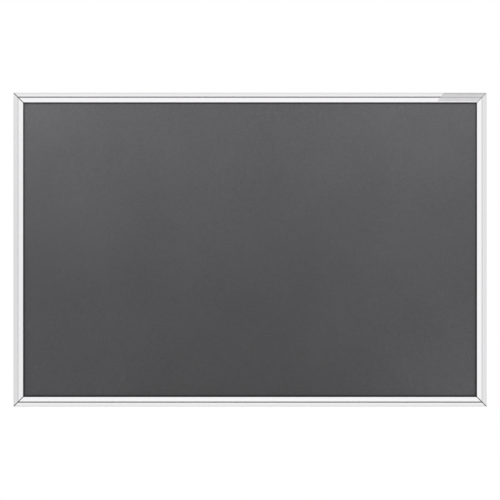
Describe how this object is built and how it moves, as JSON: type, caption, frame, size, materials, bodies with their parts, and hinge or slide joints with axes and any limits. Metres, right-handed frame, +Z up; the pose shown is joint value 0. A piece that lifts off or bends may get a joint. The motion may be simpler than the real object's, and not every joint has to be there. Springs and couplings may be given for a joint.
{
  "type": "pin board",
  "caption": "Wall-hung pin board with a grey felt face over cork and hardboard, in a mitred aluminium frame with sliding keyhole hangers at the back.",
  "frame": {"origin": "middle of the frame's top edge, on the wall plane", "axes": "+X right and +Z up as seen from the front, which faces -Y; the wall is the plane y = 0"},
  "size_m": [0.9, 0.0203, 0.597],
  "materials": {
    "satin_aluminium": "silver anodised, drawn along each length",
    "grey_felt": "matt pressed felt",
    "cork": "pressed cork granules",
    "hardboard": "smooth brown hardboard",
    "grey_foil": "bare satin foil",
    "zinc_steel": "bright zinc plate",
    "dark_steel": "dark oiled steel"
  },
  "bodies": {
    "board": {"top_rail": "satin_aluminium", "bottom_rail": "satin_aluminium", "left_stile": "satin_aluminium", "right_stile": "satin_aluminium", "felt_facing": "grey_felt", "cork_sheet": "cork", "backing_board": "hardboard", "blank_badge": "grey_foil", "corner_set_screws": "dark_steel", "corner_angle_top_left": "dark_steel", "corner_angle_top_right": "dark_steel", "corner_angle_bottom_left": "dark_steel", "corner_angle_bottom_right": "dark_steel"},
    "hanger_top_left": {"hanger_plate_top_left": "zinc_steel", "slot_nut_top_left": "dark_steel", "clamp_screw_top_left": "zinc_steel"},
    "hanger_top_right": {"hanger_plate_top_right": "zinc_steel", "slot_nut_top_right": "dark_steel", "clamp_screw_top_right": "zinc_steel"},
    "hanger_bottom_left": {"hanger_plate_bottom_left": "zinc_steel", "slot_nut_bottom_left": "dark_steel", "clamp_screw_bottom_left": "zinc_steel"},
    "hanger_bottom_right": {"hanger_plate_bottom_right": "zinc_steel", "slot_nut_bottom_right": "dark_steel", "clamp_screw_bottom_right": "zinc_steel"}
  },
  "joints": [
    {"name": "hanger_slide_top_left", "type": "slide", "parent": "board", "child": "hanger_top_left", "axis": [1, 0, 0], "range_m": [-0.096, 0.28]},
    {"name": "hanger_slide_top_right", "type": "slide", "parent": "board", "child": "hanger_top_right", "axis": [1, 0, 0], "range_m": [-0.28, 0.096]},
    {"name": "hanger_slide_bottom_left", "type": "slide", "parent": "board", "child": "hanger_bottom_left", "axis": [1, 0, 0], "range_m": [-0.096, 0.28]},
    {"name": "hanger_slide_bottom_right", "type": "slide", "parent": "board", "child": "hanger_bottom_right", "axis": [1, 0, 0], "range_m": [-0.28, 0.096]}
  ]
}
